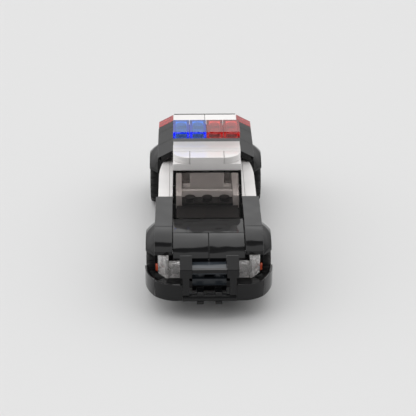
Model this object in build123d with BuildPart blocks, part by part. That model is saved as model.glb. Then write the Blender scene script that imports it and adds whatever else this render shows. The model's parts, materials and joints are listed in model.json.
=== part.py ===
"""Toy police patrol car built from studded bricks, standing on four free-turning wheels.

The nose points to -Y, +Z is up and the origin is on the floor under the middle of the car.
Stations along the car are counted in studs from the front face of the light bar.
"""
import os
from math import cos, radians, sin, sqrt, tan

from build123d import *

# Brick system: five plates stand as tall as two studs are wide, so bricks also fit on edge
PITCH = 8.0
PLATE = 2 * PITCH / 5
GAP = 0.1
STUD_R = 2.4
STUD_H = 1.7
BAR_R = 1.6
WALL = 1.5

# Stations along the car, in studs
ST_BULLBAR = -10.6
ST_BUMPER_MID = -10.55
ST_BUMPER_CORNER = -10.0
ST_NOSE = -9.0
ST_BONNET = -7.0
ST_SCREEN_FOOT = -5.2
ST_DOOR_FRONT = -3.0
ST_DASH = -2.2
ST_CHASSIS_SEAM = -1.0
ST_ROOF_FRONT = -2.0
ST_DOOR_CURVE = 0.0
ST_LIGHTS_FRONT = 0.0
ST_LIGHTS_REAR = 2.0
ST_CAP_FRONT = 2.0
ST_DOOR_REAR = 3.0
ST_ROOF_REAR = 3.0
ST_DECK_FRONT = 5.0
ST_TAIL = 8.0
ST_REAR_END = 8.4
ST_WHEEL_FRONT = -6.5
ST_WHEEL_REAR = 5.0

# Heights above the underside datum, in plates
N_CHASSIS = 2
N_FLOOR = 4
N_SLOPE_BASE = 6
N_CORE = 7
N_BONNET = 8
N_BELT = 9
N_DECK = 11
N_SCREEN_TOP = 12
N_ROOF = 14
N_LIGHT_BASE = 15

# Widths out from the centre line, in studs
W_CABIN = 2.0
W_DOOR = 2.85
W_BODY = 3.0
W_FLARE = 3.5
W_BUMPER = 3.53

# Wheels and arches
TYRE_R = 12.0
TYRE_W = 9.8
TYRE_CLEAR = 2.0
SHOULDER = 1.2
SIDEWALL = 4.0
RIM_R = TYRE_R - SIDEWALL
RIM_WALL = 1.1
HUB_R = 3.2
PIN_CLEAR = 0.05
ARCH_GAP = 1.2
ARCH_ROOF = 2.4
FLARE_BAND = 4.1
FLARE_LAND = 0.6
FLARE_BULGE = 0.15

# Body details
BRACKET = 1.6
CURVE_LIP = 1.6
GLASS = 1.4
CAP_TILT = 28.0
CAP_REACH = 7.4
BUMPER_H = 7.8
BUMPER_T = 1.7
LAMP_H = 7.0

SHIFT = -(ST_BULLBAR * PITCH - BAR_R + ST_REAR_END * PITCH) / 2


def y_at(stud):
    return stud * PITCH + SHIFT


CABIN = W_CABIN * PITCH
BODY = W_BODY * PITCH
TYRE_IN = CABIN + TYRE_CLEAR
FLARE = W_FLARE * PITCH
AXLE_Z = TYRE_R
ARCH_R = TYRE_R + ARCH_GAP
BODY_BASE = AXLE_Z + ARCH_R + ARCH_ROOF - N_BONNET * PLATE


def z_at(plates):
    return BODY_BASE + plates * PLATE


SIDES = (("left", 1), ("right", -1))
AXLES = (("front", y_at(ST_WHEEL_FRONT)), ("rear", y_at(ST_WHEEL_REAR)))

os.makedirs("parts", exist_ok=True)


def save(builder, label):
    builder.part.label = label
    export_step(builder.part, "parts/" + label + ".step")


# Chassis: two plates four studs wide end to end, each hollow underneath at its outer end with stud tubes
TUBE_OUT = 3.25
TUBE_ROWS = 3
END_STUDS = 4
PLATE_TOP = 1.2
pocket_len = END_STUDS * PITCH - GAP - WALL
for half, outer, seam, end in (("front", ST_NOSE, ST_CHASSIS_SEAM, -1), ("rear", ST_TAIL, ST_CHASSIS_SEAM, 1)):
    half_len = abs(outer - seam) * PITCH - 2 * GAP
    half_mid = y_at((outer + seam) / 2)
    pocket_mid = half_mid + end * (half_len / 2 - WALL - pocket_len / 2)
    tube_mid = y_at(outer - end * END_STUDS / 2)
    with BuildPart() as chassis_half:
        with BuildSketch(Plane.XY.offset(z_at(N_CHASSIS))):
            with Locations((0, half_mid)):
                Rectangle(2 * CABIN - 2 * GAP, half_len)
        extrude(amount=PLATE)
        with BuildSketch(Plane.XY.offset(z_at(N_CHASSIS))):
            with Locations((0, pocket_mid)):
                Rectangle(2 * CABIN - 2 * GAP - 2 * WALL, pocket_len)
            with Locations((0, tube_mid)):
                with GridLocations(PITCH, PITCH, TUBE_ROWS, END_STUDS - 1):
                    Circle(TUBE_OUT, mode=Mode.SUBTRACT)
                with GridLocations(PITCH, PITCH, TUBE_ROWS, END_STUDS - 1):
                    Circle(STUD_R)
        extrude(amount=PLATE - PLATE_TOP, mode=Mode.SUBTRACT)
    save(chassis_half, "chassis_plate_" + half)

# Axle plates: two studs long, a snap pin for a wheel at each side
BEAD_R = 1.9
BEAD_ROOM = 0.5
BOSS_R = 2.8
BOSS_DEPTH = 1.2
hub_in = TYRE_IN + 0.10 * TYRE_W
dish_in = TYRE_IN + 0.56 * TYRE_W
dish_out = TYRE_IN + 0.70 * TYRE_W
hub_out = TYRE_IN + 0.72 * TYRE_W
hub_face = TYRE_IN + 0.86 * TYRE_W
rim_back = TYRE_IN + 0.05 * TYRE_W
rim_face = TYRE_IN + 0.95 * TYRE_W
for axle, y_axle in AXLES:
    with BuildPart() as axle_plate:
        with BuildSketch(Plane.XY.offset(z_at(N_CHASSIS + 1))):
            with Locations((0, y_axle)):
                Rectangle(2 * CABIN - 2 * GAP, 2 * PITCH - 2 * GAP)
        extrude(amount=PLATE)
        for side, sign in SIDES:
            with BuildSketch(Plane.YZ.offset(sign * (CABIN - GAP))):
                with Locations((y_axle, AXLE_Z)):
                    Circle(BOSS_R)
            extrude(amount=sign * BOSS_DEPTH)
            with BuildSketch(Plane.YZ.offset(sign * (CABIN - GAP))):
                with Locations((y_axle, AXLE_Z)):
                    Circle(BAR_R)
            extrude(amount=sign * (hub_out + 2 * GAP - CABIN + GAP))
            with BuildSketch(Plane.YZ.offset(sign * (hub_out + 2 * GAP))):
                with Locations((y_axle, AXLE_Z)):
                    Circle(BEAD_R)
            extrude(amount=sign * (hub_face - hub_out - 3 * GAP))
    save(axle_plate, "axle_plate_" + axle)

# Wheels: a dished rim with round holes that turns on its pin, and a tyre round it
SPOKE_HOLES = 6
barrel_in = RIM_R - RIM_WALL
for axle, y_axle in AXLES:
    for side, sign in SIDES:
        tag = axle + "_" + side
        hub_plane = Plane(origin=(0, y_axle, AXLE_Z), x_dir=(sign, 0, 0), z_dir=(0, -sign, 0))
        with BuildPart() as rim:
            with BuildSketch(hub_plane):
                with BuildLine():
                    Polyline(
                        (hub_in, BAR_R + PIN_CLEAR),
                        (hub_out, BAR_R + PIN_CLEAR),
                        (hub_out, BEAD_R + BEAD_ROOM),
                        (hub_face, BEAD_R + BEAD_ROOM),
                        (hub_face, HUB_R),
                        (dish_out, barrel_in),
                        (rim_face, barrel_in + 0.3 * RIM_WALL),
                        (rim_face, RIM_R),
                        (rim_back, RIM_R),
                        (rim_back, barrel_in),
                        (dish_in, barrel_in),
                        (dish_in, HUB_R),
                        (hub_in, HUB_R),
                        close=True,
                    )
                make_face()
            revolve(axis=Axis((0, y_axle, AXLE_Z), (1, 0, 0)))
            with BuildSketch(Plane.YZ.offset(sign * (dish_in - GAP))):
                with Locations((y_axle, AXLE_Z)):
                    with PolarLocations((HUB_R + barrel_in) / 2, SPOKE_HOLES):
                        Circle(0.34 * (barrel_in - HUB_R))
            extrude(amount=sign * TYRE_W, mode=Mode.SUBTRACT)
        save(rim, "rim_" + tag)
        with BuildPart() as tyre:
            with BuildSketch(hub_plane):
                with BuildLine():
                    Polyline(
                        (TYRE_IN, RIM_R),
                        (TYRE_IN + TYRE_W, RIM_R),
                        (TYRE_IN + TYRE_W, TYRE_R - SHOULDER),
                        (TYRE_IN + TYRE_W - SHOULDER, TYRE_R),
                        (TYRE_IN + SHOULDER, TYRE_R),
                        (TYRE_IN, TYRE_R - SHOULDER),
                        close=True,
                    )
                make_face()
            revolve(axis=Axis((0, y_axle, AXLE_Z), (1, 0, 0)))
        save(tyre, "tyre_" + tag)

# Front core: stepped black bricks under the bonnet
with BuildPart() as front_core:
    with BuildSketch(Plane.YZ.offset(-CABIN + GAP)):
        with BuildLine():
            Polyline(
                (y_at(ST_NOSE) + GAP, z_at(N_FLOOR)),
                (y_at(ST_DOOR_FRONT) - GAP, z_at(N_FLOOR)),
                (y_at(ST_DOOR_FRONT) - GAP, z_at(N_CORE)),
                (y_at(ST_BONNET) + GAP, z_at(N_CORE)),
                (y_at(ST_BONNET) + GAP, z_at(N_SLOPE_BASE)),
                (y_at(ST_NOSE) + GAP, z_at(N_SLOPE_BASE)),
                close=True,
            )
        make_face()
    extrude(amount=2 * CABIN - 2 * GAP)
    with BuildSketch(Plane.XZ.offset(-y_at(ST_NOSE) - GAP)):
        for side, sign in SIDES:
            with Locations((sign * (CABIN - GAP - STUD_R), z_at(N_FLOOR) + LAMP_H / 2)):
                Circle(STUD_R)
    extrude(amount=STUD_H + GAP)
save(front_core, "front_core")

# Cabin: floor plate and the white wall at the back, recessed at both sides
RECESS_SKIN = 1.2
tub_front = y_at(ST_DOOR_FRONT) + GAP
tub_rear = y_at(ST_ROOF_REAR) - GAP
tub_wall = PITCH / 2
with BuildPart() as cabin_floor:
    with BuildSketch(Plane.XY.offset(z_at(N_CHASSIS + 1))):
        with Locations((0, (tub_front + tub_rear) / 2)):
            Rectangle(2 * CABIN - 2 * GAP, tub_rear - tub_front)
    extrude(amount=PLATE)
save(cabin_floor, "cabin_floor")
with BuildPart() as cabin_back:
    with BuildSketch(Plane.XZ.offset(-tub_rear)):
        with Locations((0, (z_at(N_FLOOR) + z_at(N_SCREEN_TOP)) / 2)):
            Rectangle(2 * CABIN - 2 * GAP, z_at(N_SCREEN_TOP) - z_at(N_FLOOR))
    extrude(amount=tub_wall)
    with BuildSketch(Plane.XZ.offset(-tub_rear + RECESS_SKIN)):
        for side, sign in SIDES:
            with Locations((sign * (PITCH + tub_wall / 2), (z_at(N_FLOOR + 1) + z_at(N_DECK - 1)) / 2)):
                Rectangle(tub_wall, z_at(N_DECK - 1) - z_at(N_FLOOR + 1))
    extrude(amount=tub_wall, mode=Mode.SUBTRACT)
save(cabin_back, "cabin_back")

# Rear core: black bricks under the boot deck
with BuildPart() as rear_core:
    core_front = y_at(ST_ROOF_REAR) + GAP
    core_rear = y_at(ST_TAIL) - GAP
    with BuildSketch(Plane.XY.offset(z_at(N_FLOOR))):
        with Locations((0, (core_front + core_rear) / 2)):
            Rectangle(2 * CABIN - 2 * GAP, core_rear - core_front)
    extrude(amount=z_at(N_DECK - 1) - z_at(N_FLOOR))
save(rear_core, "rear_core")

# Mudguards: block over each wheel with a flare that swells out to the arch and tapers off at both ends
LIP_FOOT = 0.70
LIP_FULL = 0.70
LIP_END = 1.12
for axle, y_axle in AXLES:
    for side, sign in SIDES:
        front = axle == "front"
        with BuildPart() as mudguard:
            with BuildSketch(Plane.YZ.offset(sign * (CABIN + GAP))):
                with Locations((y_axle, (z_at(N_CHASSIS + 1) + z_at(N_BONNET)) / 2)):
                    Rectangle(4 * PITCH - 2 * GAP, z_at(N_BONNET) - z_at(N_CHASSIS + 1))
                with Locations((y_axle, AXLE_Z)):
                    Circle(ARCH_R, mode=Mode.SUBTRACT)
                with Locations((y_axle, 0)):
                    Rectangle(2 * ARCH_R, 2 * AXLE_Z, mode=Mode.SUBTRACT)
                if front:
                    with Locations((y_at(ST_NOSE), z_at(N_BONNET))):
                        Rectangle(2 * (y_at(ST_BONNET) - y_at(ST_NOSE)) + 2 * GAP, 2 * PLATE + 2 * GAP,
                                  mode=Mode.SUBTRACT)
            extrude(amount=sign * (BODY - CABIN - 2 * GAP))
            lip_plane = Plane(origin=(0, y_axle, AXLE_Z), x_dir=(sign, 0, 0), z_dir=(0, -sign, 0))
            lip_r = ARCH_R + FLARE_BAND
            edge = (FLARE, ARCH_R + FLARE_LAND)
            root = (BODY - GAP, lip_r)
            crown = ((edge[0] + root[0]) / 2 + FLARE_BULGE, (edge[1] + root[1]) / 2 + FLARE_BULGE)
            with BuildSketch(lip_plane):
                with BuildLine():
                    Polyline(root, (BODY - GAP, ARCH_R), (FLARE, ARCH_R), edge)
                    ThreePointArc(edge, crown, root)
                make_face()
            revolve(axis=Axis((0, y_axle, AXLE_Z), (1, 0, 0)))
            foot_z = AXLE_Z + LIP_FOOT * ARCH_R
            with BuildSketch(Plane.YZ.offset(sign * (BODY - GAP))):
                with Locations((y_axle, foot_z - lip_r)):
                    Rectangle(2 * lip_r, 2 * lip_r)
            extrude(amount=sign * PITCH, mode=Mode.SUBTRACT)
            for end in (-1, 1):
                with BuildSketch(Plane.XY.offset(AXLE_Z)):
                    with BuildLine():
                        Polyline(
                            (sign * FLARE, y_axle + end * LIP_FULL * ARCH_R),
                            (sign * (BODY - GAP), y_axle + end * LIP_END * ARCH_R),
                            (sign * (BODY - GAP), y_axle + end * 2 * ARCH_R),
                            (sign * (FLARE + PITCH), y_axle + end * 2 * ARCH_R),
                            (sign * (FLARE + PITCH), y_axle + end * LIP_FULL * ARCH_R),
                            close=True,
                        )
                    make_face()
                extrude(amount=2 * lip_r, mode=Mode.SUBTRACT)
        save(mudguard, "mudguard_" + axle + "_" + side)

# Front wings: a long flat tile and a curved slope along each side of the bonnet
slope_run = 2 * PITCH - 2 * GAP
with BuildSketch(Plane.YZ) as slope_side:
    with BuildLine():
        Line((0, 0), (slope_run, 0))
        Line((slope_run, 0), (slope_run, 2 * PLATE))
        TangentArc((slope_run, 2 * PLATE), (0, CURVE_LIP), tangent=(-1, 0))
        Line((0, CURVE_LIP), (0, 0))
    make_face()
for side, sign in SIDES:
    with BuildPart() as wing:
        with BuildSketch(Plane.YZ.offset(sign * (CABIN + GAP))):
            with Locations((y_at((ST_BONNET + ST_DOOR_FRONT) / 2), z_at(N_BELT) - PLATE / 2)):
                Rectangle((ST_DOOR_FRONT - ST_BONNET) * PITCH - 2 * GAP, PLATE)
        extrude(amount=sign * (BODY - CABIN - 2 * GAP))
        curve_plane = Plane(origin=(sign * (CABIN + GAP), y_at(ST_NOSE) + GAP, z_at(N_CORE)),
                            x_dir=(0, 1, 0), z_dir=(1, 0, 0))
        with BuildSketch(curve_plane):
            add(slope_side.sketch_local)
        extrude(amount=sign * (BODY - CABIN - 2 * GAP))
    save(wing, "wing_" + side)

# Bonnet: one flat tile and two curved slopes side by side
with BuildPart() as bonnet_tile:
    with BuildSketch(Plane.XY.offset(z_at(N_CORE))):
        with Locations((0, (y_at(ST_BONNET) + y_at(ST_SCREEN_FOOT)) / 2)):
            Rectangle(2 * CABIN - 2 * GAP, y_at(ST_SCREEN_FOOT) - y_at(ST_BONNET) - 2 * GAP)
    extrude(amount=PLATE)
save(bonnet_tile, "bonnet_tile")
with BuildPart() as bonnet_slopes:
    for side, sign in SIDES:
        slope_plane = Plane(origin=(sign * GAP, y_at(ST_NOSE) + GAP, z_at(N_SLOPE_BASE)),
                            x_dir=(0, 1, 0), z_dir=(1, 0, 0))
        with BuildSketch(slope_plane):
            add(slope_side.sketch_local)
        extrude(amount=sign * (CABIN - 2 * GAP))
save(bonnet_slopes, "bonnet_slopes")

# Dashboard: low plate behind the foot of the windscreen, a studded step, and a white panel across the cabin
DASH_SIDE = 0.2
dash_half = CABIN - GAP - GLASS - DASH_SIDE
dash_front = y_at(ST_SCREEN_FOOT) + GAP + 2 * GLASS
dash_rear = y_at(ST_DOOR_FRONT) - GAP - GLASS
panel_half = CABIN - GAP - tub_wall - GAP
step_rear = y_at(ST_DASH) - BRACKET / 2 - GAP
with BuildPart() as dashboard:
    with BuildSketch(Plane.XY.offset(z_at(N_CORE))):
        with Locations((0, (dash_front + dash_rear) / 2)):
            Rectangle(2 * dash_half, dash_rear - dash_front)
    extrude(amount=PLATE - PLATE_TOP)
    with BuildSketch(Plane.XY.offset(z_at(N_CORE))):
        with Locations((0, (dash_rear + step_rear) / 2)):
            Rectangle(2 * panel_half, step_rear - dash_rear)
    extrude(amount=PLATE)
    with BuildSketch(Plane.XY.offset(z_at(N_BONNET))):
        with Locations((0, (dash_rear + step_rear) / 2)):
            with GridLocations(PITCH, PITCH, 3, 1):
                Circle(STUD_R)
    extrude(amount=STUD_H)
save(dashboard, "dashboard")
with BuildPart() as dash_panel:
    with BuildSketch(Plane.XY.offset(z_at(N_CORE))):
        with Locations((0, y_at(ST_DASH))):
            Rectangle(2 * panel_half, BRACKET)
    extrude(amount=2 * PLATE)
save(dash_panel, "dash_panel")

# Windscreen: smoked sloping pane with a cheek at each side
foot = y_at(ST_SCREEN_FOOT) + GAP
head = y_at(ST_ROOF_FRONT) - GAP
screen_foot_z = z_at(N_BONNET)
screen_top_z = z_at(N_SCREEN_TOP)
slope = (screen_top_z - screen_foot_z) / (head - foot)
pane = GLASS * sqrt(1 + slope * slope)
with BuildPart() as windscreen:
    with BuildSketch(Plane.YZ.offset(-CABIN + GAP)):
        with BuildLine():
            Polyline(
                (foot, z_at(N_CORE)),
                (y_at(ST_DOOR_FRONT) - GAP, z_at(N_CORE)),
                (y_at(ST_DOOR_FRONT) - GAP, z_at(N_BELT)),
                (head, z_at(N_BELT)),
                (head, screen_top_z),
                (head - 0.4, screen_top_z),
                (foot, screen_foot_z + 0.2),
                close=True,
            )
        make_face()
    extrude(amount=2 * CABIN - 2 * GAP)
    with BuildSketch(Plane.YZ.offset(-CABIN + GAP + GLASS)):
        with BuildLine():
            Polyline(
                (foot + GLASS, z_at(N_CORE) - 1),
                (head + 1, z_at(N_CORE) - 1),
                (head + 1, screen_top_z - pane + slope),
                (foot + GLASS, screen_foot_z - pane + slope * GLASS),
                close=True,
            )
        make_face()
    extrude(amount=2 * CABIN - 2 * GAP - 2 * GLASS, mode=Mode.SUBTRACT)
save(windscreen, "windscreen")

# Side windows
for side, sign in SIDES:
    with BuildPart() as side_window:
        with BuildSketch(Plane.YZ.offset(sign * (CABIN - GAP))):
            with BuildLine():
                Polyline(
                    (y_at(ST_ROOF_FRONT) + GAP, z_at(N_BELT)),
                    (tub_rear - tub_wall - GAP, z_at(N_BELT)),
                    (tub_rear - tub_wall - GAP, z_at(N_SCREEN_TOP)),
                    (y_at(ST_ROOF_FRONT) + GAP, z_at(N_SCREEN_TOP)),
                    close=True,
                )
            make_face()
        extrude(amount=-sign * GLASS)
    save(side_window, "side_window_" + side)

# Doors: inner wall, side bracket, then two long curved slopes laid on edge one above the other
DOOR_ROWS = 2
door_in = CABIN + GAP
door_skin = CABIN + BRACKET + GAP
door_out = W_DOOR * PITCH
for side, sign in SIDES:
    with BuildPart() as door:
        wall_rear = tub_rear - tub_wall - GAP
        with BuildSketch(Plane.XY.offset(z_at(N_FLOOR))):
            with Locations((sign * (CABIN - GAP - tub_wall / 2), (tub_front + wall_rear) / 2)):
                Rectangle(tub_wall, wall_rear - tub_front)
        extrude(amount=z_at(N_BELT) - z_at(N_FLOOR))
        with BuildSketch(Plane.YZ.offset(sign * door_in)):
            with Locations((y_at((ST_DOOR_FRONT + ST_DOOR_REAR) / 2), z_at(N_BELT) - DOOR_ROWS * PITCH / 2)):
                Rectangle((ST_DOOR_REAR - ST_DOOR_FRONT) * PITCH - 2 * GAP, DOOR_ROWS * PITCH)
        extrude(amount=sign * (BRACKET - GAP))
        for row in range(DOOR_ROWS):
            row_z = z_at(N_BELT) - (row + 1) * PITCH + (GAP if row == 0 else 0)
            start = y_at(ST_DOOR_FRONT) + GAP
            turn = y_at(ST_DOOR_CURVE)
            end = y_at(ST_DOOR_REAR) - GAP
            with BuildSketch(Plane.XY.offset(row_z)):
                with BuildLine():
                    Polyline((sign * door_skin, end), (sign * door_skin, start), (sign * door_out, start),
                             (sign * door_out, turn))
                    TangentArc((sign * door_out, turn), (sign * (door_skin + CURVE_LIP), end), tangent=(0, 1))
                    Line((sign * (door_skin + CURVE_LIP), end), (sign * door_skin, end))
                make_face()
            extrude(amount=PITCH - GAP)
    save(door, "door_" + side)

# Sills under the doors, from arch to arch, set in below and flush with the body in front of the door
SILL_REACH = 2.0
SILL_INSET = 1.2
sill_front = y_at(ST_WHEEL_FRONT + SILL_REACH) + GAP
sill_rear = y_at(ST_WHEEL_REAR - SILL_REACH) - GAP
for side, sign in SIDES:
    with BuildPart() as sill:
        with BuildSketch(Plane.YZ.offset(sign * (CABIN + GAP))):
            with BuildLine():
                Polyline(
                    (sill_front, z_at(N_CHASSIS)),
                    (sill_rear, z_at(N_CHASSIS)),
                    (sill_rear, z_at(N_FLOOR)),
                    (sill_front, z_at(N_FLOOR)),
                    close=True,
                )
            make_face()
        extrude(amount=sign * (BODY - CABIN - SILL_INSET))
        with BuildSketch(Plane.YZ.offset(sign * (CABIN + GAP))):
            with BuildLine():
                Polyline(
                    (sill_front, z_at(N_FLOOR)),
                    (y_at(ST_DOOR_FRONT) - GAP, z_at(N_FLOOR)),
                    (y_at(ST_DOOR_FRONT) - GAP, z_at(N_BONNET)),
                    (sill_front, z_at(N_BONNET)),
                    close=True,
                )
            make_face()
        extrude(amount=sign * (BODY - CABIN - 2 * GAP))
    save(sill, "sill_" + side)

# Roof: plate, flat panel and a front row with quarter-round corners
with BuildPart() as roof_plate:
    with BuildSketch(Plane.XY.offset(z_at(N_SCREEN_TOP))):
        with Locations((0, y_at((ST_ROOF_FRONT + ST_ROOF_REAR) / 2))):
            Rectangle(2 * CABIN - 2 * GAP, (ST_ROOF_REAR - ST_ROOF_FRONT) * PITCH - 2 * GAP)
    extrude(amount=PLATE)
save(roof_plate, "roof_plate")
with BuildPart() as roof_tiles:
    with BuildSketch(Plane.XY.offset(z_at(N_ROOF - 1))):
        with Locations((0, y_at((ST_ROOF_FRONT + 1 + ST_ROOF_REAR) / 2))):
            Rectangle(2 * CABIN - 2 * GAP, (ST_ROOF_REAR - ST_ROOF_FRONT - 1) * PITCH - 2 * GAP)
        with Locations((0, y_at(ST_ROOF_FRONT + 0.5))):
            Rectangle(2 * PITCH - 2 * GAP, PITCH - 2 * GAP)
        for side, sign in SIDES:
            corner = (sign * (PITCH + GAP), y_at(ST_ROOF_FRONT + 1) - GAP)
            reach = PITCH - 2 * GAP
            with BuildLine():
                Line(corner, (corner[0] + sign * reach, corner[1]))
                TangentArc((corner[0] + sign * reach, corner[1]), (corner[0], corner[1] - reach), tangent=(0, -1))
                Line((corner[0], corner[1] - reach), corner)
            make_face()
    extrude(amount=PLATE)
save(roof_tiles, "roof_tiles")

# Light bar: studded base plate with hollow clear-coloured tiles, two of each colour
LENS_WALL = 1.2
lights_mid = y_at((ST_LIGHTS_FRONT + ST_LIGHTS_REAR) / 2)
lights_len = (ST_LIGHTS_REAR - ST_LIGHTS_FRONT) * PITCH - 2 * GAP
with BuildPart() as light_base:
    with BuildSketch(Plane.XY.offset(z_at(N_ROOF))):
        with Locations((0, lights_mid)):
            Rectangle(2 * CABIN - 2 * GAP, lights_len)
    extrude(amount=PLATE)
    with BuildSketch(Plane.XY.offset(z_at(N_LIGHT_BASE))):
        with Locations((0, lights_mid)):
            with GridLocations(PITCH, PITCH, 4, 2):
                Circle(STUD_R)
    extrude(amount=STUD_H)
save(light_base, "light_base")
for colour, sign in (("red", 1), ("blue", -1)):
    with BuildPart() as lens:
        with BuildSketch(Plane.XY.offset(z_at(N_LIGHT_BASE))):
            with Locations((sign * PITCH, lights_mid)):
                with GridLocations(PITCH, PITCH, 2, 1):
                    Rectangle(PITCH - 2 * GAP, lights_len)
        extrude(amount=PLATE)
        with BuildSketch(Plane.XY.offset(z_at(N_LIGHT_BASE))):
            with Locations((sign * PITCH, lights_mid)):
                with GridLocations(PITCH, PITCH, 2, 1):
                    Rectangle(PITCH - 2 * GAP - 2 * LENS_WALL, lights_len - 2 * LENS_WALL)
        extrude(amount=PLATE - 1.2, mode=Mode.SUBTRACT)
    save(lens, "lights_" + colour)

# Rear window: smoked pane with cheeks, sloping from the roof to the boot deck
pane_top = z_at(N_ROOF) - 1.0
pane_head = y_at(ST_ROOF_REAR) + PITCH / 2
pane_foot = y_at(ST_DECK_FRONT) - GAP
with BuildPart() as rear_window:
    with BuildSketch(Plane.YZ.offset(-CABIN + GAP)):
        with BuildLine():
            Polyline(
                (y_at(ST_ROOF_REAR) + GAP, z_at(N_DECK - 1)),
                (pane_foot, z_at(N_DECK - 1)),
                (pane_foot, z_at(N_DECK)),
                (pane_head, pane_top),
                (y_at(ST_ROOF_REAR) + GAP, pane_top),
                close=True,
            )
        make_face()
    extrude(amount=2 * CABIN - 2 * GAP)
    with BuildSketch(Plane.YZ.offset(-CABIN + GAP + GLASS)):
        with BuildLine():
            Polyline(
                (y_at(ST_ROOF_REAR) - GLASS, z_at(N_DECK - 1) - GLASS),
                (pane_foot - 2 * GLASS, z_at(N_DECK - 1) - GLASS),
                (pane_foot - 2 * GLASS, z_at(N_DECK) - GLASS / 2),
                (pane_head - GLASS / 2, pane_top - GLASS),
                (y_at(ST_ROOF_REAR) - GLASS, pane_top - GLASS),
                close=True,
            )
        make_face()
    extrude(amount=2 * CABIN - 2 * GAP - 2 * GLASS, mode=Mode.SUBTRACT)
save(rear_window, "rear_window")

# Boot deck: two white tiles side by side
with BuildPart() as boot_deck:
    for side, sign in SIDES:
        with BuildSketch(Plane.XY.offset(z_at(N_DECK - 1))):
            with Locations((sign * CABIN / 2, y_at((ST_DECK_FRONT + ST_TAIL) / 2))):
                Rectangle(CABIN - 2 * GAP, (ST_TAIL - ST_DECK_FRONT) * PITCH - 2 * GAP)
        extrude(amount=PLATE)
save(boot_deck, "boot_deck")

# Rear quarters: black bricks beside the boot, capped by tiles that lean outwards
tilt = radians(CAP_TILT)
cap_top = (CABIN + 2 * GAP, z_at(N_DECK))
cap_out = (cap_top[0] + CAP_REACH, cap_top[1] - CAP_REACH * tan(tilt))
cap_deep = PLATE / cos(tilt)
cap_tiles = tuple((ST_CAP_FRONT + first, ST_CAP_FRONT + last) for first, last in ((0, 2), (2, 4), (4, 5)))
for side, sign in SIDES:
    seat_in = cap_top[1] - cap_deep + GAP * tan(tilt) - GAP
    seat_out = seat_in - (BODY - CABIN - 2 * GAP) * tan(tilt)
    cap_face = (
        (sign * cap_top[0], cap_top[1]),
        (sign * cap_out[0], cap_out[1]),
        (sign * (cap_out[0] - PLATE * sin(tilt)), cap_out[1] - PLATE * cos(tilt)),
        (sign * cap_top[0], cap_top[1] - cap_deep),
    )
    with BuildPart() as quarter:
        with BuildSketch(Plane.XZ.offset(-y_at(ST_DOOR_REAR) - GAP)):
            with BuildLine():
                Polyline(
                    (sign * (CABIN + GAP), z_at(N_BONNET)),
                    (sign * (BODY - GAP), z_at(N_BONNET)),
                    (sign * (BODY - GAP), seat_out),
                    (sign * (CABIN + GAP), seat_in),
                    close=True,
                )
            make_face()
        extrude(amount=-(ST_TAIL - ST_DOOR_REAR) * PITCH + 2 * GAP)
        with BuildSketch(Plane.XY.offset(z_at(N_CHASSIS) + BUMPER_H)):
            with Locations((sign * (CABIN + BODY) / 2, y_at((ST_WHEEL_REAR + 2 + ST_TAIL) / 2))):
                Rectangle(BODY - CABIN - 2 * GAP, (ST_TAIL - ST_WHEEL_REAR - 2) * PITCH - 2 * GAP)
        extrude(amount=z_at(N_BONNET) - z_at(N_CHASSIS) - BUMPER_H)
        for first, last in cap_tiles:
            with BuildSketch(Plane.XZ.offset(-y_at(first) - GAP)):
                with BuildLine():
                    Polyline(*cap_face, close=True)
                make_face()
            extrude(amount=-(last - first) * PITCH + 2 * GAP)
    save(quarter, "quarter_" + side)
    with BuildPart() as tail_light:
        with BuildSketch(Plane.XZ.offset(-y_at(ST_TAIL - 1) - GAP)):
            with BuildLine():
                Polyline(*cap_face, close=True)
            make_face()
        extrude(amount=-PITCH + 2 * GAP)
    save(tail_light, "tail_light_" + side)

# Rear panel and rear bumper
with BuildPart() as rear_panel:
    with BuildSketch(Plane.XZ.offset(-y_at(ST_TAIL))):
        with Locations((0, (z_at(N_CHASSIS) + BUMPER_H + z_at(N_DECK)) / 2)):
            Rectangle(2 * CABIN - 2 * GAP, z_at(N_DECK) - z_at(N_CHASSIS) - BUMPER_H - 2 * GAP)
    extrude(amount=-BRACKET)
save(rear_panel, "rear_panel")
REAR_FLAT = 14.0
rear_out = BODY + BUMPER_T
with BuildPart() as rear_bumper:
    with BuildSketch(Plane.XY.offset(z_at(N_CHASSIS))):
        for side, sign in SIDES:
            with BuildLine():
                Polyline(
                    (0, y_at(ST_REAR_END)),
                    (0, y_at(ST_TAIL) + GAP),
                    (sign * (CABIN + GAP), y_at(ST_TAIL) + GAP),
                    (sign * (CABIN + GAP), y_at(ST_WHEEL_REAR + 2) + GAP),
                    (sign * rear_out, y_at(ST_WHEEL_REAR + 2) + GAP),
                    (sign * rear_out, y_at(ST_TAIL - 0.5)),
                )
                TangentArc((sign * REAR_FLAT, y_at(ST_REAR_END)), (sign * rear_out, y_at(ST_TAIL - 0.5)),
                           tangent=(sign, 0))
                Line((sign * REAR_FLAT, y_at(ST_REAR_END)), (0, y_at(ST_REAR_END)))
            make_face()
    extrude(amount=BUMPER_H - GAP)
save(rear_bumper, "rear_bumper")

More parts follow.
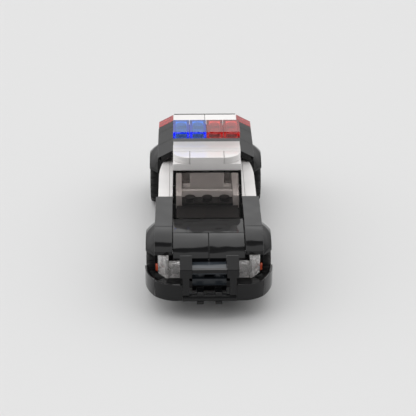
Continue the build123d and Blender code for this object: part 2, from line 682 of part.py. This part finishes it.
# Headlights: a square clear tile facing forward and a swept-back corner lens
lamp_low = z_at(N_FLOOR)
lamp_high = z_at(N_CORE) - GAP
lamp_seam = CABIN + BRACKET
LENS_BACK = 3.6
LENS_SKIN = 1.1
LAMP_SKIN = 0.9
AMBER = 1.0
lens_out = BODY - AMBER - 6 * GAP
nose = y_at(ST_NOSE)
for side, sign in SIDES:
    lens_points = (
        (sign * (lamp_seam + GAP), nose - LENS_BACK),
        (sign * (lamp_seam + GAP + AMBER), nose - LENS_BACK),
        (sign * lens_out, nose + LENS_BACK / 2),
        (sign * lens_out, nose + LENS_BACK),
        (sign * (lamp_seam + GAP), nose + LENS_BACK),
    )
    with BuildPart() as headlight:
        with BuildSketch(Plane.XY.offset(lamp_low)):
            with Locations((sign * (lamp_seam - PITCH / 2), nose - PLATE / 2)):
                Rectangle(PITCH - 2 * GAP, PLATE - 2 * GAP)
        extrude(amount=LAMP_H)
        with BuildSketch(Plane.XY.offset(lamp_low)):
            with BuildLine():
                Polyline(*lens_points, close=True)
            make_face()
        extrude(amount=lamp_high - lamp_low)
        with BuildSketch(Plane.XY.offset(lamp_low + LAMP_SKIN)):
            with Locations((sign * (lamp_seam - PITCH / 2), nose - LENS_SKIN)):
                Rectangle(PITCH - 2 * GAP - 2 * LENS_SKIN, 2 * LENS_SKIN)
        extrude(amount=LAMP_H - 2 * LAMP_SKIN, mode=Mode.SUBTRACT)
        with BuildSketch(Plane.XY.offset(lamp_low + LENS_SKIN)):
            with BuildLine():
                Polyline(
                    (sign * (lamp_seam + GAP + LENS_SKIN), nose + LENS_BACK + GAP),
                    (sign * (lamp_seam + GAP + LENS_SKIN), nose - LENS_BACK + 2 * LENS_SKIN),
                    (sign * (lens_out - LENS_SKIN), nose + LENS_BACK / 2 + LENS_SKIN / 2),
                    (sign * (lens_out - LENS_SKIN), nose + LENS_BACK + GAP),
                    close=True,
                )
            make_face()
        extrude(amount=lamp_high - lamp_low - 2 * LENS_SKIN, mode=Mode.SUBTRACT)
    save(headlight, "headlight_" + side)
    with BuildPart() as indicator:
        with BuildSketch(Plane.XY.offset(lamp_low + PLATE / 4)):
            with BuildLine():
                Polyline(
                    (sign * (lens_out + GAP), nose + LENS_BACK / 2),
                    (sign * (lens_out + GAP + AMBER), nose + LENS_BACK / 2 + AMBER),
                    (sign * (lens_out + GAP + AMBER), nose + LENS_BACK),
                    (sign * (lens_out + GAP), nose + LENS_BACK),
                    close=True,
                )
            make_face()
        extrude(amount=PLATE)
    save(indicator, "indicator_" + side)

# Bull bar: an arm with a sloping head and a post at each side, a flat cross bar above and a round one below
ARM_W = 5.3
ARM_H = 4.0
ARM_T = 1.1
POST_W = 3.0
HEAD_RUN = 0.8 * PITCH
HEAD_RISE = 1.2 * PLATE
post_x = 1.27 * PITCH
bar_y = y_at(ST_BULLBAR)
bar_low = z_at(N_CHASSIS) + BAR_R + 3 * GAP
arm_top = z_at(N_CORE)
arm_foot = nose - LENS_BACK - GAP
for side, sign in SIDES:
    with BuildPart() as bar_post:
        with BuildSketch(Plane.YZ.offset(sign * (post_x - ARM_W / 2))):
            with BuildLine():
                Polyline(
                    (nose - GAP, arm_top),
                    (bar_y - BAR_R + HEAD_RUN, arm_top),
                    (bar_y - BAR_R + HEAD_RUN, arm_top + HEAD_RISE),
                    (bar_y - BAR_R, arm_top),
                    (bar_y - BAR_R, arm_top - ARM_H),
                    (arm_foot, arm_top - ARM_H),
                    (arm_foot, arm_top - ARM_T),
                    (nose - GAP, arm_top - ARM_T),
                    close=True,
                )
            make_face()
        extrude(amount=sign * ARM_W)
        with BuildSketch(Plane.XY.offset(bar_low + BAR_R + GAP)):
            with Locations((sign * post_x, bar_y)):
                Rectangle(POST_W, 2 * BAR_R)
        extrude(amount=arm_top - ARM_H / 2 - bar_low - BAR_R - GAP)
    save(bar_post, "bullbar_post_" + side)
with BuildPart() as bullbar_bars:
    with BuildSketch(Plane.YZ.offset(-post_x + ARM_W / 2 + GAP)):
        with Locations((bar_y - BAR_R / 3, arm_top - BRACKET / 2)):
            RectangleRounded(4 * BAR_R / 3, BRACKET, BRACKET / 4)
    extrude(amount=2 * post_x - ARM_W - 2 * GAP)
    with BuildSketch(Plane.YZ.offset(-post_x - POST_W / 2)):
        with Locations((bar_y, bar_low)):
            Circle(BAR_R)
    extrude(amount=2 * post_x + POST_W)
save(bullbar_bars, "bullbar_bars")

# Grille: thin grey tile above, and a grey plate with two bare studs set back under it
grille_w = 2 * (post_x - ARM_W / 2 - GAP)
GRILLE_RISE = 2.0
GRILLE_TILE = 2.2
with BuildPart() as grille:
    with BuildSketch(Plane.XY.offset(z_at(N_SLOPE_BASE) - GRILLE_TILE)):
        with Locations((0, nose - PITCH / 2)):
            Rectangle(grille_w, PITCH - 2 * GAP)
    extrude(amount=GRILLE_TILE)
    with BuildSketch(Plane.XY.offset(z_at(N_FLOOR - 1) + GRILLE_RISE + GAP)):
        with Locations((0, nose - PITCH / 2)):
            Rectangle(grille_w, PITCH - 2 * GAP)
    extrude(amount=PLATE - GAP)
    with BuildSketch(Plane.XY.offset(z_at(N_FLOOR) + GRILLE_RISE)):
        with Locations((0, nose - PITCH / 2)):
            with GridLocations(PITCH, PITCH, 2, 1):
                Circle(STUD_R)
    extrude(amount=STUD_H)
save(grille, "grille")

# Clip plate: carries the grille and grips the low cross bar with two open rings
CLIP_W = 3.0
CLIP_T = 1.2
with BuildPart() as clip_plate:
    plate_front = nose - PITCH + GAP
    plate_low = z_at(N_CHASSIS) + GRILLE_RISE
    with BuildSketch(Plane.XY.offset(plate_low)):
        with Locations((0, nose - PITCH / 2)):
            Rectangle(grille_w, PITCH - 2 * GAP)
    extrude(amount=PLATE)
    for side, sign in SIDES:
        with BuildSketch(Plane.YZ.offset(sign * PITCH / 2 - CLIP_W / 2)):
            with Locations((bar_y, bar_low)):
                Circle(BAR_R + GAP + CLIP_T)
            with Locations(((bar_y + plate_front) / 2, plate_low + CLIP_T)):
                Rectangle(plate_front - bar_y + GAP, 2 * CLIP_T)
            with Locations((bar_y, bar_low)):
                Circle(BAR_R + GAP, mode=Mode.SUBTRACT)
            with Locations((bar_y - BAR_R - CLIP_T, bar_low)):
                Rectangle(2 * BAR_R, 4 * BAR_R, mode=Mode.SUBTRACT)
        extrude(amount=CLIP_W)
save(clip_plate, "clip_plate")

# Front bumper: curved front panel with a deck behind it, and a thin curved corner, at each side
FLAT_RUN = 2.24
panel_in = post_x + POST_W / 2 + GAP
flat_end = panel_in + FLAT_RUN
corner_x = BODY - 3 * GAP
front_y = y_at(ST_BUMPER_MID)
corner_y = y_at(ST_BUMPER_CORNER)
side_y = y_at(ST_WHEEL_FRONT) - ARCH_R
for side, sign in SIDES:
    out = W_BUMPER * PITCH
    with BuildPart() as bumper:
        with BuildSketch(Plane.XY.offset(z_at(N_CHASSIS))):
            with BuildLine():
                Polyline(
                    (sign * corner_x, corner_y),
                    (sign * corner_x, corner_y + BUMPER_T),
                    (sign * (CABIN + BRACKET), nose - GAP),
                    (sign * panel_in, nose - GAP),
                    (sign * panel_in, front_y),
                    (sign * flat_end, front_y),
                )
                TangentArc((sign * flat_end, front_y), (sign * corner_x, corner_y), tangent=(sign, 0))
            make_face()
        extrude(amount=lamp_low - GAP - z_at(N_CHASSIS))
        with BuildSketch(Plane.XY.offset(lamp_low - 2 * GAP)):
            with BuildLine():
                Polyline(
                    (sign * corner_x, corner_y),
                    (sign * corner_x, corner_y + BUMPER_T),
                )
                TangentArc((sign * flat_end, front_y + BUMPER_T), (sign * corner_x, corner_y + BUMPER_T),
                           tangent=(sign, 0))
                Polyline(
                    (sign * flat_end, front_y + BUMPER_T),
                    (sign * panel_in, front_y + BUMPER_T),
                    (sign * panel_in, front_y),
                    (sign * flat_end, front_y),
                )
                TangentArc((sign * flat_end, front_y), (sign * corner_x, corner_y), tangent=(sign, 0))
            make_face()
        extrude(amount=z_at(N_CHASSIS) + BUMPER_H - lamp_low + 2 * GAP)
        joint_x = corner_x + GAP
        with BuildSketch(Plane.XY.offset(z_at(N_CHASSIS))):
            with BuildLine():
                TangentArc((sign * out, side_y), (sign * joint_x, corner_y), tangent=(0, -1))
                Line((sign * joint_x, corner_y), (sign * joint_x, corner_y + 1.5 * BUMPER_T))
                TangentArc((sign * (out - BUMPER_T), side_y), (sign * joint_x, corner_y + 1.5 * BUMPER_T),
                           tangent=(0, -1))
                Line((sign * (out - BUMPER_T), side_y), (sign * out, side_y))
            make_face()
        extrude(amount=BUMPER_H)
    save(bumper, "bumper_" + side)
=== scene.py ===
"""Toy police patrol car built from studded bricks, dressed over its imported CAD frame."""
import json
import math

import bpy
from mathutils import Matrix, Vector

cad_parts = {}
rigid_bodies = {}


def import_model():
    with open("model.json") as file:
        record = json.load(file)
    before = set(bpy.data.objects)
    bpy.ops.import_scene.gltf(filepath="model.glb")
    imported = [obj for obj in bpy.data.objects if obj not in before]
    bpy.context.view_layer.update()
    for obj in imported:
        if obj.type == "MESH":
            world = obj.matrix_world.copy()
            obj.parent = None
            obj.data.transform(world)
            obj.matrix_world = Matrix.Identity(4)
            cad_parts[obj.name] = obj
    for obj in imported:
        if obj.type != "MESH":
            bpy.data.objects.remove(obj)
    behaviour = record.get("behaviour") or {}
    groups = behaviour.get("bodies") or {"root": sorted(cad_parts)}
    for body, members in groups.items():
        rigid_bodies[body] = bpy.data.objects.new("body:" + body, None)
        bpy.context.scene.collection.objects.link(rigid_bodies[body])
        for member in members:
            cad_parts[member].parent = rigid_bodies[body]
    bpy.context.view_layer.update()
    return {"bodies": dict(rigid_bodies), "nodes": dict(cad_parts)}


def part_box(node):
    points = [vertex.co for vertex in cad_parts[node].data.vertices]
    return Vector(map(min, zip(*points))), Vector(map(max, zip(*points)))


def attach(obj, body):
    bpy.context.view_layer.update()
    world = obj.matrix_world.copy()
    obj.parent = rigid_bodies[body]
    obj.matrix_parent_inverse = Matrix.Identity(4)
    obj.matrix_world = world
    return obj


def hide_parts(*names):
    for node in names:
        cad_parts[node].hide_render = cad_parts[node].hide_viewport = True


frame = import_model()
nodes = frame["nodes"]
scene = bpy.context.scene
scene.view_settings.view_transform = "Standard"

# Camera: stands in front of the nose, a little to the car's right, and looks down on it.
# A long lens keeps the bricks nearly parallel.
CAMERA_SPOT = (-0.00976, -0.6292, 0.3109)
CAMERA_TILT = math.radians(65.044)
CAMERA_TURN = math.radians(-0.938)
camera = bpy.data.objects.new("camera", bpy.data.cameras.new("camera"))
scene.collection.objects.link(camera)
camera.location = CAMERA_SPOT
camera.rotation_euler = (CAMERA_TILT, 0, CAMERA_TURN)
camera.data.sensor_width = 36.0
camera.data.lens = 125.8
camera.data.clip_start = 0.01
scene.camera = camera


# Studio: a wide pale sheet of matt board under a dome of soft light.
# The dome is a large bright panel behind the car, a dimmer one overhead with a dark slit between
# them, and soft light from both sides; little comes from the front.
class Signal:
    """A shader socket that takes part in plain arithmetic."""

    def __init__(self, socket):
        self.socket = socket
        self.tree = socket.id_data

    @staticmethod
    def node(tree, kind, settings=None, inputs=None, output=0):
        made = tree.nodes.new("ShaderNode" + kind)
        for name, value in (settings or {}).items():
            if name == "stops":
                ramp = made.color_ramp
                while len(ramp.elements) < len(value):
                    ramp.elements.new(1.0)
                for element, (place, level) in zip(ramp.elements, value):
                    element.position = place
                    element.color = (level, level, level, 1)
            else:
                setattr(made, name, value)
        for key, value in (inputs or {}).items():
            if isinstance(value, Signal):
                tree.links.new(value.socket, made.inputs[key])
            else:
                made.inputs[key].default_value = value
        return Signal(made.outputs[output])

    def maths(self, operation, first, second=0.0):
        return Signal.node(self.tree, "Math", {"operation": operation}, {0: first, 1: second})

    def feeds(self, socket):
        self.tree.links.new(self.socket, socket)

    def __add__(self, other):
        return self.maths("ADD", self, other)

    def __radd__(self, other):
        return self.maths("ADD", other, self)

    def __sub__(self, other):
        return self.maths("SUBTRACT", self, other)

    def __rsub__(self, other):
        return self.maths("SUBTRACT", other, self)

    def __mul__(self, other):
        return self.maths("MULTIPLY", self, other)

    def __rmul__(self, other):
        return self.maths("MULTIPLY", other, self)

    def __pow__(self, other):
        return self.maths("POWER", self, other)


SHEET = 20.0
BOARD_GREY = (0.69, 0.69, 0.69, 1)
sheet_mesh = bpy.data.meshes.new("floor_sheet")
sheet_mesh.from_pydata(
    [(-SHEET, -SHEET, 0), (SHEET, -SHEET, 0), (SHEET, SHEET, 0), (-SHEET, SHEET, 0)],
    [],
    [(0, 1, 2, 3)],
)
floor_sheet = bpy.data.objects.new("floor_sheet", sheet_mesh)
scene.collection.objects.link(floor_sheet)
board = bpy.data.materials.new("pale_board")
board.use_nodes = True
board_shader = board.node_tree.nodes["Principled BSDF"]
board_shader.inputs["Base Color"].default_value = BOARD_GREY
board_shader.inputs["Roughness"].default_value = 0.9
board_shader.inputs["Specular IOR Level"].default_value = 0.0
sheet_mesh.materials.append(board)

dome = bpy.data.worlds.new("dome")
dome.use_nodes = True
scene.world = dome
sky = dome.node_tree
DOME_TOP = 2.2
SIDE_LIGHT = 1.38
SIDE_LEAN = 0.35
SIDE_LOW = 0.35
SIDE_CLIMB = 1.3
# Degrees from level behind the car, over the top, to level in front of it, each with its brightness.
PANELS = (
    (0, 0.50), (10, 0.55), (18, 0.85), (25, 1.25), (31, 1.80), (67, 2.10), (71, 1.95), (72, 0.20),
    (76, 0.20), (77, 0.28), (80.5, 0.28), (82.5, 1.34), (97, 1.24), (115, 0.50), (145, 0.27), (180, 0.20),
)
panel_stops = [(degrees / 180, level / DOME_TOP) for degrees, level in PANELS]
heading = Signal.node(sky, "TexCoord")
across = Signal.node(sky, "SeparateXYZ", {}, {0: heading}, "X")
along = Signal.node(sky, "SeparateXYZ", {}, {0: heading}, "Y")
height = Signal.node(sky, "SeparateXYZ", {}, {0: heading}, "Z")
swing = height.maths("ARCTAN2", height, along) * (1 / math.pi)
panel = Signal.node(sky, "ValToRGB", {"stops": panel_stops}, {"Fac": swing})
sideways = across * across
wings = (SIDE_LIGHT - SIDE_LEAN * across) * (SIDE_LOW + SIDE_CLIMB * height)
strength = DOME_TOP * panel * (1 - sideways) + wings * sideways
strength.feeds(sky.nodes["Background"].inputs["Strength"])
sky.nodes["Background"].inputs["Color"].default_value = (1, 1, 1, 1)


# Black bricks: mudguards, wings, bonnet, bumpers, quarters, bull bar, inner bricks and chassis.
# Injection-moulded glossy plastic pressed together, with a small round on every edge and the faint
# waviness that thin moulded walls have.
BLACK = (0.005, 0.005, 0.0055)
EDGE_ROUND = 0.0002
CRISP_EDGE = 0.00005
ROUND_STEPS = 2
SHARP_CORNER = math.radians(35)
WELD_REACH = 0.000002
TINT_DARK = 0.92
TINT_LIGHT = 1.06
TINT_BY_BRICK = 0.6
TINT_BY_FLOW = 0.4
HANDLING_WEAR = 0.10
RIPPLE_SHIFT = 9.0
RIPPLE_DEPTH = 0.001
PEEL_SHARE = 0.0015


def round_edges(name, width):
    piece = nodes[name]
    weld = piece.modifiers.new("weld", "WELD")
    weld.merge_threshold = WELD_REACH
    bevel = piece.modifiers.new("edge_round", "BEVEL")
    bevel.width = width
    bevel.segments = ROUND_STEPS
    bevel.limit_method = "ANGLE"
    bevel.angle_limit = SHARP_CORNER
    even = piece.modifiers.new("even_faces", "WEIGHTED_NORMAL")
    even.mode = "FACE_AREA"
    even.weight = 100
    even.keep_sharp = False
    piece.data.shade_smooth()
    return piece


def dress(names, material, width=EDGE_ROUND):
    for name in names:
        piece = round_edges(name, width)
        piece.data.materials.clear()
        piece.data.materials.append(material)


def moulded_plastic(name, colour, gloss, wave=1.0):
    material = bpy.data.materials.new(name)
    material.use_nodes = True
    tree = material.node_tree
    shader = tree.nodes["Principled BSDF"]
    place = Signal.node(tree, "TexCoord", output="Object")
    brick = Signal.node(tree, "NewGeometry", output="Random Per Island")
    flow = Signal.node(tree, "TexNoise", {}, {"Vector": place, "Scale": 45.0, "Detail": 3.0})
    handling = Signal.node(
        tree, "TexNoise", {}, {"Vector": place, "Scale": 420.0, "Detail": 6.0, "Roughness": 0.7}
    )
    ripple = Signal.node(
        tree, "TexNoise", {"noise_dimensions": "4D"},
        {"Vector": place, "W": RIPPLE_SHIFT * brick, "Scale": 85.0, "Detail": 1.0},
    )
    peel = Signal.node(tree, "TexNoise", {}, {"Vector": place, "Scale": 2600.0, "Detail": 2.0})
    tint = Signal.node(
        tree, "Mix", {"data_type": "RGBA"},
        {
            "Factor": brick * TINT_BY_BRICK + flow * TINT_BY_FLOW,
            "A": [TINT_DARK * c for c in colour] + [1],
            "B": [min(1, TINT_LIGHT * c) for c in colour] + [1],
        },
        "Result",
    )
    tint.feeds(shader.inputs["Base Color"])
    rough = gloss + HANDLING_WEAR * handling * flow
    rough.feeds(shader.inputs["Roughness"])
    relief = Signal.node(
        tree, "Bump", {},
        {"Strength": 0.6, "Distance": RIPPLE_DEPTH * wave, "Height": ripple + PEEL_SHARE * peel},
    )
    relief.feeds(shader.inputs["Normal"])
    shader.inputs["IOR"].default_value = 1.38
    return material


black_plastic = moulded_plastic("black_plastic", BLACK, gloss=0.05)
black_groups = (
    "mudguard_", "wing_", "bumper_", "quarter_", "bullbar_", "axle_plate_", "sill_", "chassis_",
)
black_singles = ("front_core", "rear_core", "bonnet_slopes", "rear_panel", "rear_bumper", "clip_plate")
dress([n for n in nodes if n.startswith(black_groups) or n in black_singles], black_plastic)
dress(["bonnet_tile"], black_plastic, CRISP_EDGE)

# Dashboard: a low black plate and a raised step with studs behind the windscreen.
# Moulded plastic with the duller face of an unpolished mould, pressed on the bricks of the nose.
DULL_BLACK = (0.003, 0.003, 0.0033)
dress(["dashboard"], moulded_plastic("dull_black_plastic", DULL_BLACK, gloss=0.3, wave=0.3))

# White bricks: doors, roof, boot deck, the cabin lining and the upright panel behind the dashboard.
# The same moulded plastic in a bright white, pressed together stud by stud.
WHITE = (0.83, 0.81, 0.80)
white_plastic = moulded_plastic("white_plastic", WHITE, gloss=0.10)
white_names = [
    "door_left", "door_right", "roof_plate", "roof_tiles", "boot_deck",
    "cabin_back", "cabin_floor", "dash_panel",
]
dress(white_names, white_plastic)

# Cabin block: white bricks across the cabin behind the dashboard panel, two studs wide in their upper part.
# Moulded plastic with rounded edges, stacked on the cabin floor up to the roof plate.
STUD_PITCH = 0.008
BLOCK_DEEP = 0.004
BLOCK_BEHIND = 0.75 * STUD_PITCH
BLOCK_PLAY = 0.00005
SHOULDER_DROP = 0.0014
SHOULDER_INSET = 0.0002
panel_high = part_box("dash_panel")[1]
block_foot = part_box("cabin_floor")[1][2] + BLOCK_PLAY
block_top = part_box("roof_plate")[0][2] - BLOCK_PLAY
shoulder = panel_high[2] - SHOULDER_DROP
wide = panel_high[0] - SHOULDER_INSET
outline = [(wide, block_foot), (wide, shoulder), (STUD_PITCH, shoulder), (STUD_PITCH, block_top)]
outline = outline + [(-x, z) for x, z in reversed(outline)]
block_front = panel_high[1] + BLOCK_BEHIND
points = [(x, y, z) for y in (block_front, block_front + BLOCK_DEEP) for x, z in outline]
count = len(outline)
faces = [tuple(range(count - 1, -1, -1)), tuple(range(count, 2 * count))]
faces += [(i, (i + 1) % count, count + (i + 1) % count, count + i) for i in range(count)]
block_mesh = bpy.data.meshes.new("cabin_block")
block_mesh.from_pydata(points, [], faces)
block_mesh.validate()
block_mesh.materials.append(white_plastic)
block = bpy.data.objects.new("cabin_block", block_mesh)
scene.collection.objects.link(block)
block_round = block.modifiers.new("edge_round", "BEVEL")
block_round.width = EDGE_ROUND
block_round.segments = ROUND_STEPS
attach(block, "car")

# Grey bricks: the studded base of the light bar, and the darker plates of the grille and the rims.
# Moulded plastic again; the base is pressed on the roof, the grille on the nose, and the rims snap
# on the pins of the axle plates.
LIGHT_GREY = (0.22, 0.225, 0.23)
DARK_GREY = (0.035, 0.042, 0.050)
dress(["light_base"], moulded_plastic("light_grey_plastic", LIGHT_GREY, gloss=0.10))
dark_grey_plastic = moulded_plastic("dark_grey_plastic", DARK_GREY, gloss=0.10)
dress(["grille"] + [n for n in nodes if n.startswith("rim_")], dark_grey_plastic)

# Tyres: soft black rubber pushed over the rims, with two rows of staggered tread blocks.
# Each is one section carried round the axle, sunk between the blocks and along the middle.
RUBBER_BLACK = (0.014, 0.014, 0.014)
LUGS = 20
LUG_STEPS = 8
GROOVE_STEPS = 3
GROOVE = 0.00055
BORE_PLAY = 0.00003
TREAD_SHARP = math.radians(32)
# Share of the width, share of the height from bore to tread, and row of blocks (0 where there is none).
TREAD = (
    (0.09, 0.000, 0), (0.03, 0.04, 0), (0.0, 0.20, 0), (0.0, 0.48, 0), (0.012, 0.68, 0), (0.045, 0.83, 1),
    (0.095, 0.935, 1), (0.16, 0.985, 1), (0.26, 1.0, 1), (0.455, 1.0, 1), (0.462, 0.87, 0), (0.538, 0.87, 0),
    (0.545, 1.0, 2), (0.74, 1.0, 2), (0.84, 0.985, 2), (0.905, 0.935, 2), (0.955, 0.83, 2), (0.988, 0.68, 0),
    (1.0, 0.48, 0), (1.0, 0.20, 0), (0.97, 0.04, 0), (0.91, 0.000, 0),
)
rubber = moulded_plastic("tyre_rubber", RUBBER_BLACK, gloss=0.55, wave=0.3)
for wheel in [n for n in frame["bodies"] if n.startswith("wheel_")]:
    corner = wheel.replace("wheel_", "")
    low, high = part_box("tyre_" + corner)
    rim_low, rim_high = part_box("rim_" + corner)
    tyre_r = (high[2] - low[2]) / 2
    bore_r = (rim_high[2] - rim_low[2]) / 2 + BORE_PLAY
    axle_y = (high[1] + low[1]) / 2
    axle_z = (high[2] + low[2]) / 2
    points = []
    turns = LUGS * LUG_STEPS
    for turn in range(turns):
        angle = 2 * math.pi * turn / turns
        for side_share, radius_share, row in TREAD:
            step = (turn + (LUG_STEPS // 2 if row == 2 else 0)) % LUG_STEPS
            sunk = GROOVE if row and step >= LUG_STEPS - GROOVE_STEPS else 0
            radius = bore_r + radius_share * (tyre_r - bore_r) - sunk
            points.append((
                low[0] + side_share * (high[0] - low[0]),
                axle_y + radius * math.cos(angle),
                axle_z + radius * math.sin(angle),
            ))
    rows = len(TREAD)
    faces = []
    for turn in range(turns):
        for row in range(rows):
            here = turn * rows
            there = (turn + 1) % turns * rows
            faces.append((here + row, here + (row + 1) % rows, there + (row + 1) % rows, there + row))
    tread_mesh = bpy.data.meshes.new("tread_" + corner)
    tread_mesh.from_pydata(points, [], faces)
    tread_mesh.validate()
    tread_mesh.shade_smooth()
    tread_mesh.set_sharp_from_angle(angle=TREAD_SHARP)
    tread_mesh.materials.append(rubber)
    tread = bpy.data.objects.new("tread_" + corner, tread_mesh)
    scene.collection.objects.link(tread)
    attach(tread, wheel)
    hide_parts("tyre_" + corner)


# Light-bar seat: white strips in front of and behind the grey base, rising from the roof in a hollow curve.
# Moulded like the other white pieces and pressed on the roof.
SEAT_RUN = 0.0045
SEAT_RISE = 0.0016
SEAT_STEPS = 8
SEAT_PLAY = 0.00002
SEAT_LIP = 0.00004
SEAT_INSET = 0.0002
base_low, base_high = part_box("light_base")
roof_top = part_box("roof_tiles")[1][2]
for end, wall, way in (("front", base_low[1], -1), ("rear", base_high[1], 1)):
    profile = [(wall + way * SEAT_PLAY, roof_top + SEAT_PLAY)]
    for step in range(SEAT_STEPS + 1):
        share = step / SEAT_STEPS
        reach = SEAT_RUN * (1 - share) + SEAT_PLAY
        profile.append((wall + way * reach, roof_top + SEAT_LIP + SEAT_RISE * share ** 2))
    count = len(profile)
    points = [(x, y, z) for x in (base_low[0] + SEAT_INSET, base_high[0] - SEAT_INSET) for y, z in profile]
    faces = [tuple(range(count)), tuple(range(2 * count - 1, count - 1, -1))]
    faces += [(i, count + i, count + (i + 1) % count, (i + 1) % count) for i in range(count)]
    seat_mesh = bpy.data.meshes.new("light_seat_" + end)
    seat_mesh.from_pydata(points, [], faces)
    seat_mesh.validate()
    seat_mesh.shade_smooth()
    seat_mesh.set_sharp_from_angle(angle=SHARP_CORNER)
    seat_mesh.materials.append(white_plastic)
    seat = bpy.data.objects.new("light_seat_" + end, seat_mesh)
    scene.collection.objects.link(seat)
    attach(seat, "car")


# Windows: windscreen, side panes and rear window.
# Moulded in one thickness of smoked clear plastic and held between the door walls and the roof plate;
# their level edges and ends rest on other bricks, where no light comes in, so those faces carry a near-black
# painted shade.
SMOKE = (0.94, 0.895, 0.875)
CLEAR_GLOSS = 0.02
SHADED_EDGE_FACING = 0.9
PAINTED_EDGE_SHADE = (0.004, 0.004, 0.004, 1)


def clear_plastic(
    name, side, top, passes=1.0, glow=0.0, bend=1.5, depth=None, dense=600.0, wave=0.0, painted_shade_edges=False
):
    material = bpy.data.materials.new(name)
    material.use_nodes = True
    tree = material.node_tree
    shader = tree.nodes["Principled BSDF"]
    place = Signal.node(tree, "TexCoord", output="Object")
    facing = Signal.node(tree, "NewGeometry", output="True Normal")
    upward = Signal.node(tree, "SeparateXYZ", {}, {0: facing}, "Z")
    painted_top_share = upward.maths("MAXIMUM", upward, 0.0) ** 2
    flow = Signal.node(tree, "TexNoise", {}, {"Vector": place, "Scale": 60.0, "Detail": 2.0})
    # Painted light: faces that point up take the paler top colour and the rest the deeper side colour,
    # standing in for light passing through the clear plastic.
    tint = Signal.node(
        tree, "Mix", {"data_type": "RGBA"},
        {"Factor": painted_top_share, "A": list(side) + [1], "B": list(top) + [1]},
        "Result",
    )
    tint.feeds(shader.inputs["Base Color"])
    rough = CLEAR_GLOSS * flow
    rough.feeds(shader.inputs["Roughness"])
    shader.inputs["Transmission Weight"].default_value = passes
    shader.inputs["IOR"].default_value = bend
    if wave:
        ripple = Signal.node(tree, "TexNoise", {}, {"Vector": place, "Scale": 420.0, "Detail": 1.0})
        relief = Signal.node(
            tree, "Bump", {}, {"Strength": 1.0, "Distance": RIPPLE_DEPTH * wave, "Height": ripple}
        )
        relief.feeds(shader.inputs["Normal"])
    # Painted glow: the tint is also given out as light, though the part is no lamp.
    if glow:
        tint.feeds(shader.inputs["Emission Color"])
        shader.inputs["Emission Strength"].default_value = glow
    # Painted shade: faces that point up, down or along the car are drawn as near-black matt, standing in for
    # the shade where they rest on other bricks.
    if painted_shade_edges:
        endways = Signal.node(tree, "SeparateXYZ", {}, {0: facing}, "Y")
        square = upward.maths("MAXIMUM", upward * upward, endways * endways)
        edge = square.maths("GREATER_THAN", square, SHADED_EDGE_FACING)
        clear = Signal(shader.outputs["BSDF"])
        painted_shade = Signal.node(tree, "BsdfDiffuse", {}, {"Color": PAINTED_EDGE_SHADE})
        whole = Signal.node(tree, "MixShader", {}, {0: edge, 1: clear, 2: painted_shade})
        whole.feeds(tree.nodes["Material Output"].inputs["Surface"])
    if depth:
        inside = Signal.node(tree, "VolumeAbsorption", {}, {"Color": list(depth) + [1], "Density": dense})
        inside.feeds(tree.nodes["Material Output"].inputs["Volume"])
    return material


smoked_clear = clear_plastic("smoked_clear", SMOKE, SMOKE, bend=1.33, painted_shade_edges=True)
dress(["windscreen", "side_window_left", "side_window_right", "rear_window"], smoked_clear, CRISP_EDGE)

# Light-bar lenses: hollow tiles of clear coloured plastic pressed on the studs of the grey base.
# Their sides are painted deeper and their tops paler, depending on which way each face points, and they
# carry a faint painted glow; both stand in for the light the clear colour gathers.
BLUE_SIDE_PAINTED_DEEP = (0.34, 0.60, 1.0)
BLUE_TOP_PAINTED_PALE = (0.42, 0.84, 0.94)
BLUE_DEPTH = (0.02, 0.64, 1.0)
RED_SIDE_PAINTED_DEEP = (1.0, 0.40, 0.38)
RED_TOP_PAINTED_PALE = (1.0, 0.64, 0.62)
RED_DEPTH = (0.9, 0.02, 0.02)
blue_clear = clear_plastic("blue_clear", BLUE_SIDE_PAINTED_DEEP, BLUE_TOP_PAINTED_PALE, glow=0.03, depth=BLUE_DEPTH, dense=1000.0)
dress(["lights_blue"], blue_clear)
dress(["lights_red"], clear_plastic("red_clear", RED_SIDE_PAINTED_DEEP, RED_TOP_PAINTED_PALE, glow=0.02, depth=RED_DEPTH))

# Tail lights: the last cap tile on each rear quarter.
# Moulded in clear red plastic and pressed on like the black tiles in front of them.
# Painted light: the sides are painted a deeper red and the tops paler, for the light passing through the
# clear plastic.
TAIL_SIDE_PAINTED_DEEP = (0.75, 0.02, 0.03)
TAIL_TOP_PAINTED_PALE = (0.95, 0.22, 0.22)
tail_red = clear_plastic("tail_red", TAIL_SIDE_PAINTED_DEEP, TAIL_TOP_PAINTED_PALE, passes=0.7)
dress(["tail_light_left", "tail_light_right"], tail_red)

# Headlights: a hollow clear tile over a stud of the nose and a swept-back clear corner lens.
# Clear plastic, each with a small amber piece at its outer edge, pressed on the front bricks.
CLEAR = (0.97, 0.95, 0.94)
# Painted light: the amber sides are painted a little deeper than the tops.
AMBER_SIDE_PAINTED_DEEP = (0.75, 0.12, 0.05)
AMBER_TOP_PAINTED_PALE = (0.75, 0.14, 0.06)
# The headlight tiles carry a faint painted glow, though they are no lamps.
headlight_clear = clear_plastic("headlight_clear", CLEAR, CLEAR, passes=0.80, glow=0.015, wave=1.0)
dress(["headlight_left", "headlight_right"], headlight_clear)
amber_clear = clear_plastic("amber_clear", AMBER_SIDE_PAINTED_DEEP, AMBER_TOP_PAINTED_PALE, passes=0.4)
dress(["indicator_left", "indicator_right"], amber_clear)
